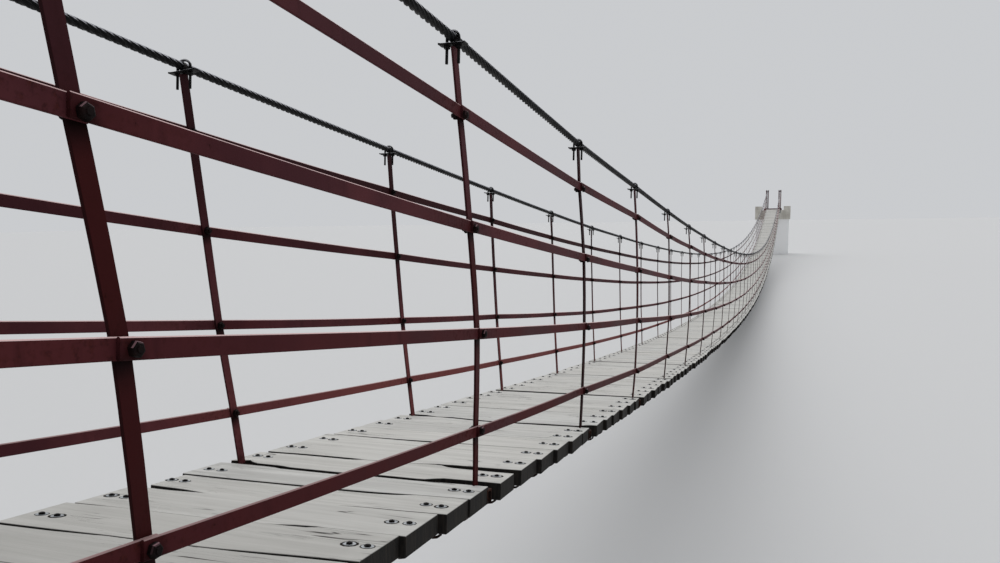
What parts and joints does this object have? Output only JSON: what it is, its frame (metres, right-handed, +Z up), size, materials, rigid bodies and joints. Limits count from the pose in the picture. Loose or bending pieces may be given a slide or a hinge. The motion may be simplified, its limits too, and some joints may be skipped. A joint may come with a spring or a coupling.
{
  "type": "wire rope suspension footbridge, 1:2 scale model",
  "caption": "Long sagging suspension footbridge with a plank deck, flat-bar post and rail sides under steel wire hand ropes, and a concrete abutment at each end; half-size model.",
  "frame": {"origin": "middle of the underside of the near abutment, the end from which the picture looks", "axes": "+X along the span from the near end to the far end, +Y to the left of someone who walks that way, +Z up"},
  "size_m": [32.6517, 1.12, 1.849],
  "materials": {
    "oxide_red_paint": "dull maroon oxide paint with rust specks",
    "weathered_timber": "bare silver-grey boards with long cracks and dark ends",
    "wire_rope": "dark greased stranded steel rope",
    "zinc_steel": "dull zinc coated steel",
    "concrete": "plain cast concrete"
  },
  "bodies": {
    "root": {"left_parapet_1": "oxide_red_paint", "left_parapet_2": "oxide_red_paint", "left_parapet_3": "oxide_red_paint", "left_parapet_4": "oxide_red_paint", "left_parapet_5": "oxide_red_paint", "right_parapet_1": "oxide_red_paint", "right_parapet_2": "oxide_red_paint", "right_parapet_3": "oxide_red_paint", "right_parapet_4": "oxide_red_paint", "right_parapet_5": "oxide_red_paint", "deck_section_1": "weathered_timber", "deck_section_2": "weathered_timber", "deck_section_3": "weathered_timber", "deck_section_4": "weathered_timber", "deck_section_5": "weathered_timber", "deck_section_6": "weathered_timber", "deck_section_7": "weathered_timber", "deck_section_8": "weathered_timber", "deck_section_9": "weathered_timber", "deck_section_10": "weathered_timber", "left_hand_rope_1": "wire_rope", "left_hand_rope_2": "wire_rope", "left_hand_rope_3": "wire_rope", "left_hand_rope_4": "wire_rope", "left_hand_rope_5": "wire_rope", "left_deck_rope_1": "wire_rope", "left_deck_rope_2": "wire_rope", "left_deck_rope_3": "wire_rope", "left_deck_rope_4": "wire_rope", "left_deck_rope_5": "wire_rope", "left_deck_rope_6": "wire_rope", "left_deck_rope_7": "wire_rope", "right_hand_rope_1": "wire_rope", "right_hand_rope_2": "wire_rope", "right_hand_rope_3": "wire_rope", "right_hand_rope_4": "wire_rope", "right_hand_rope_5": "wire_rope", "right_deck_rope_1": "wire_rope", "right_deck_rope_2": "wire_rope", "right_deck_rope_3": "wire_rope", "right_deck_rope_4": "wire_rope", "right_deck_rope_5": "wire_rope", "right_deck_rope_6": "wire_rope", "right_deck_rope_7": "wire_rope", "near_abutment": "concrete", "near_end_beam": "oxide_red_paint", "near_left_portal_post": "oxide_red_paint", "near_left_back_anchor": "zinc_steel", "near_left_deck_anchor": "zinc_steel", "near_right_portal_post": "oxide_red_paint", "near_right_back_anchor": "zinc_steel", "near_right_deck_anchor": "zinc_steel", "far_abutment": "concrete", "far_end_beam": "oxide_red_paint", "far_left_portal_post": "oxide_red_paint", "far_left_back_anchor": "zinc_steel", "far_left_deck_anchor": "zinc_steel", "far_right_portal_post": "oxide_red_paint", "far_right_back_anchor": "zinc_steel", "far_right_deck_anchor": "zinc_steel"}
  },
  "joints": []
}
